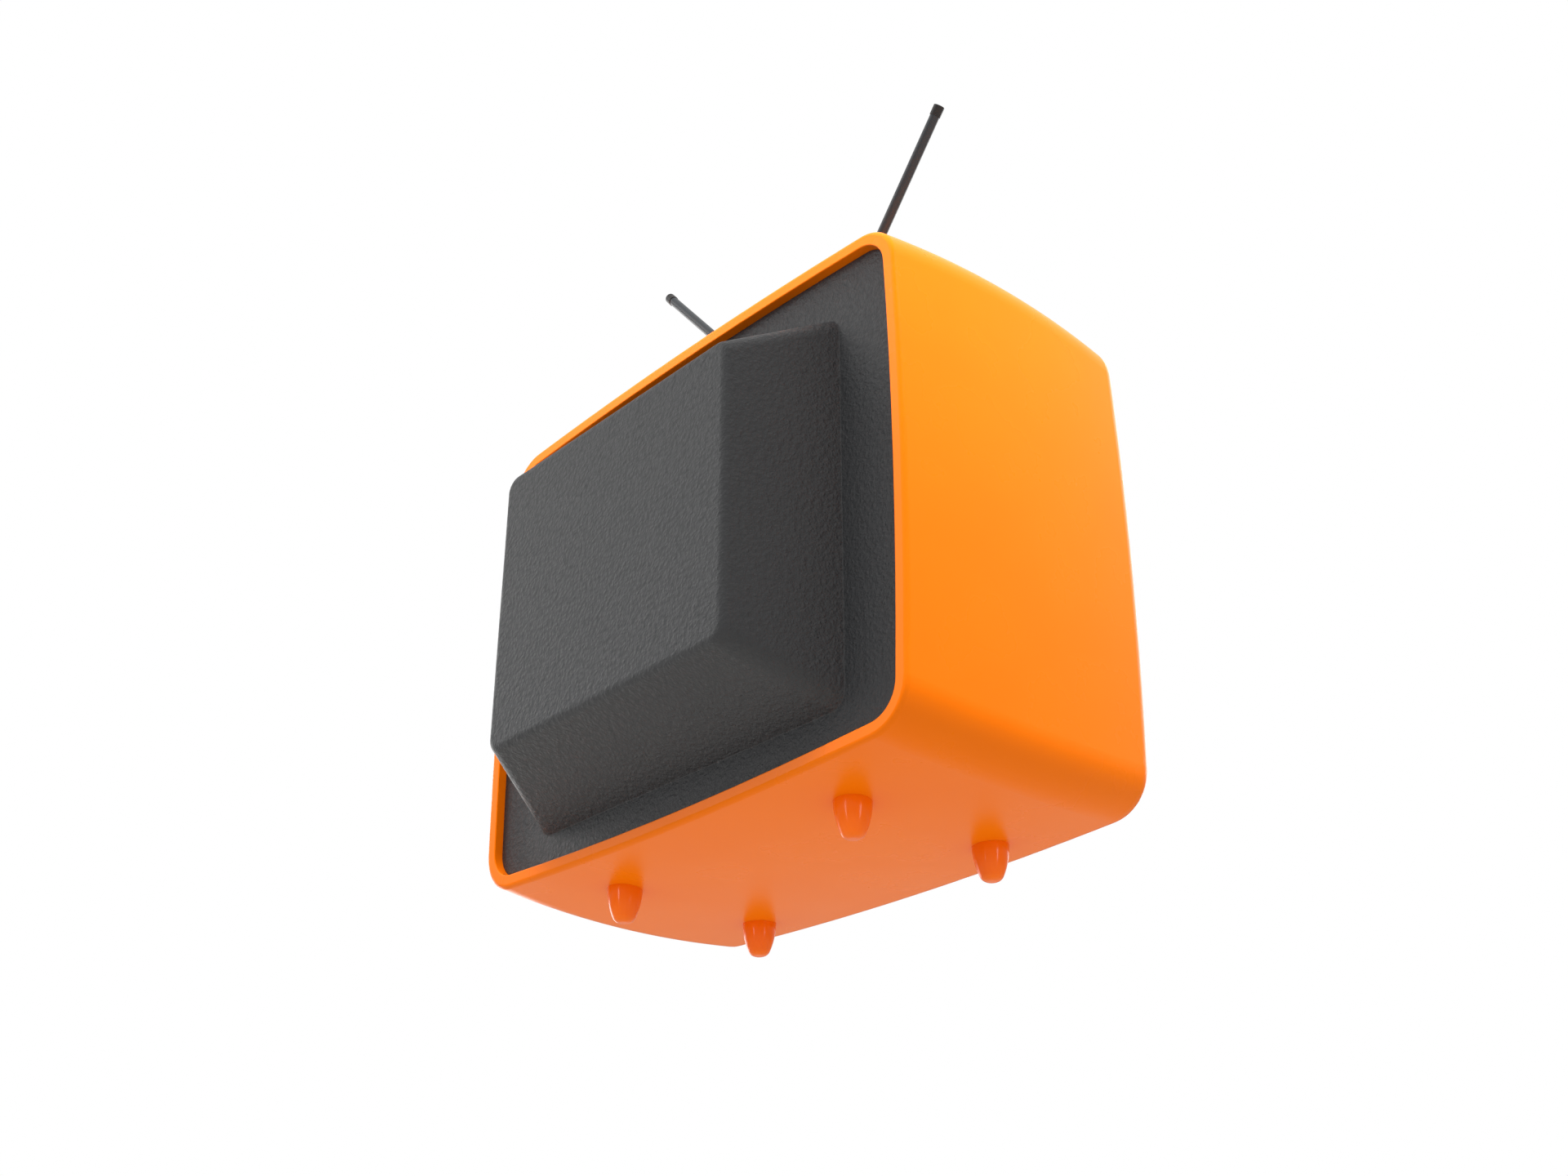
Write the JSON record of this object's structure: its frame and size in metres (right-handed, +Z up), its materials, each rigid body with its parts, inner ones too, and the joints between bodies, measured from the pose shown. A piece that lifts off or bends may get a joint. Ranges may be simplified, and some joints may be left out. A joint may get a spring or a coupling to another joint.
{
  "type": "portable television",
  "caption": "Portable television with a swollen plastic cabinet on peg feet, a recessed rear cover with a tapered hump, rotary controls beside the screen and telescopic rods that tilt.",
  "frame": {"origin": "on the ground under the middle of the whole set: middle of the bounding box in X and Y, foot tips at Z 0", "axes": "+Z up; the screen faces -Y; +X is to the right of someone who faces the screen"},
  "size_m": [0.3276, 0.2204, 0.4259],
  "materials": {
    "orange_abs": "satin",
    "grey_abs": "leather grain",
    "bezel_black": "satin",
    "trim_aluminium": "brushed",
    "knob_black": "gloss",
    "button_orange": "satin",
    "tube_glass": "polished",
    "band_steel": "plated",
    "screw_steel": "zinc plated",
    "spring_steel": "satin",
    "black_rubber": "matte",
    "gun_steel": "polished",
    "enamelled_copper": "lacquered",
    "ferrite": "matte",
    "nylon_white": "satin",
    "phenolic_brown": "satin",
    "lead_red": "satin",
    "capacitor_blue": "gloss",
    "component_mix": "gloss",
    "sink_aluminium": "matte",
    "epoxy_black": "matte",
    "core_steel": "varnished",
    "tape_yellow": "satin",
    "can_steel": "tin plated",
    "speaker_steel": "plated",
    "cone_paper": "matte",
    "rod_steel": "black chrome",
    "tip_black": "satin"
  },
  "bodies": {
    "cabinet": {"cabinet_shell": "orange_abs", "foot_front_left": "orange_abs", "foot_front_right": "orange_abs", "foot_rear_left": "orange_abs", "foot_rear_right": "orange_abs", "foot_screws": "screw_steel", "rear_cover": "grey_abs", "cover_clips": "spring_steel", "mains_inlet": "epoxy_black", "aerial_socket": "screw_steel", "earphone_jack": "epoxy_black", "front_bezel": "bezel_black", "bezel_screws": "screw_steel", "trim_plate": "trim_aluminium", "picture_tube": "tube_glass", "tube_rim_band": "band_steel", "tube_screws": "screw_steel", "screen_gasket": "black_rubber", "electron_gun": "gun_steel", "yoke_coils": "enamelled_copper", "yoke_core": "ferrite", "yoke_clamp": "nylon_white", "tube_socket": "nylon_white", "neck_board": "phenolic_brown", "anode_cap": "black_rubber", "anode_lead": "lead_red", "main_board": "phenolic_brown", "electrolytic_capacitors": "capacitor_blue", "board_components": "component_mix", "heat_sink": "sink_aluminium", "power_transistors": "epoxy_black", "flyback_coil": "epoxy_black", "flyback_core": "ferrite", "transformer_core": "core_steel", "transformer_winding": "tape_yellow", "tuners": "can_steel", "control_board": "phenolic_brown", "speaker_frame": "speaker_steel", "speaker_cone": "cone_paper", "chassis_screws": "screw_steel", "antenna_base": "grey_abs"},
    "channel_knob": {"channel_knob": "knob_black"},
    "fine_tuning_ring": {"fine_tuning_ring": "knob_black"},
    "uhf_knob": {"uhf_knob": "knob_black"},
    "volume_knob": {"volume_knob": "knob_black"},
    "brightness_knob": {"brightness_knob": "knob_black"},
    "contrast_knob": {"contrast_knob": "knob_black"},
    "power_button": {"power_button": "button_orange"},
    "left_swivel": {"left_turret": "rod_steel", "left_pivot_pin": "screw_steel"},
    "left_rod": {"left_antenna_tube": "rod_steel"},
    "left_middle": {"left_antenna_middle": "band_steel"},
    "left_inner": {"left_antenna_inner": "band_steel", "left_antenna_tip": "tip_black"},
    "right_swivel": {"right_turret": "rod_steel", "right_pivot_pin": "screw_steel"},
    "right_rod": {"right_antenna_tube": "rod_steel"},
    "right_middle": {"right_antenna_middle": "band_steel"},
    "right_inner": {"right_antenna_inner": "band_steel", "right_antenna_tip": "tip_black"}
  },
  "joints": [
    {"name": "channel_select", "type": "hinge", "parent": "cabinet", "child": "channel_knob", "pos_m": [0.111, -0.09615, 0.23379], "axis": [0, -1, 0], "continuous": true},
    {"name": "fine_tuning", "type": "hinge", "parent": "cabinet", "child": "fine_tuning_ring", "pos_m": [0.111, -0.09615, 0.23379], "axis": [0, -1, 0], "continuous": true},
    {"name": "uhf_tuning", "type": "hinge", "parent": "cabinet", "child": "uhf_knob", "pos_m": [0.111, -0.09615, 0.18479], "axis": [0, -1, 0], "range_deg": [-165, 165]},
    {"name": "volume_turn", "type": "hinge", "parent": "cabinet", "child": "volume_knob", "pos_m": [0.098, -0.09615, 0.14779], "axis": [0, -1, 0], "range_deg": [-150, 150]},
    {"name": "brightness_turn", "type": "hinge", "parent": "cabinet", "child": "brightness_knob", "pos_m": [0.098, -0.09615, 0.12479], "axis": [0, -1, 0], "range_deg": [-150, 150]},
    {"name": "contrast_turn", "type": "hinge", "parent": "cabinet", "child": "contrast_knob", "pos_m": [0.125, -0.09615, 0.12479], "axis": [0, -1, 0], "range_deg": [-150, 150]},
    {"name": "power_push", "type": "slide", "parent": "cabinet", "child": "power_button", "axis": [0, 1, 0], "range_m": [0, 0.003], "stiffness_N_per_m": 250, "springref_m": -0.001},
    {"name": "left_antenna_swivel", "type": "hinge", "parent": "cabinet", "child": "left_swivel", "pos_m": [-0.0135, -0.01975, 0.30019], "axis": [0, 0, 1], "range_deg": [-90, 90]},
    {"name": "left_antenna_tilt", "type": "hinge", "parent": "left_swivel", "child": "left_rod", "pos_m": [-0.0135, -0.01975, 0.30019], "axis": [-0.0366, -0.9993, 0], "range_deg": [-40.4, 48]},
    {"name": "left_antenna_extend_middle", "type": "slide", "parent": "left_rod", "child": "left_middle", "axis": [-0.6477, 0.0237, 0.7615], "range_m": [0, 0.134]},
    {"name": "left_antenna_extend_inner", "type": "slide", "parent": "left_middle", "child": "left_inner", "axis": [-0.6477, 0.0237, 0.7615], "range_m": [0, 0.134]},
    {"name": "right_antenna_swivel", "type": "hinge", "parent": "cabinet", "child": "right_swivel", "pos_m": [0.0135, -0.01975, 0.30019], "axis": [0, 0, 1], "range_deg": [-90, 90]},
    {"name": "right_antenna_tilt", "type": "hinge", "parent": "right_swivel", "child": "right_rod", "pos_m": [0.0135, -0.01975, 0.30019], "axis": [-0.0366, 0.9993, 0], "range_deg": [-40.4, 48]},
    {"name": "right_antenna_extend_middle", "type": "slide", "parent": "right_rod", "child": "right_middle", "axis": [0.6477, 0.0237, 0.7615], "range_m": [0, 0.134]},
    {"name": "right_antenna_extend_inner", "type": "slide", "parent": "right_middle", "child": "right_inner", "axis": [0.6477, 0.0237, 0.7615], "range_m": [0, 0.134]}
  ]
}
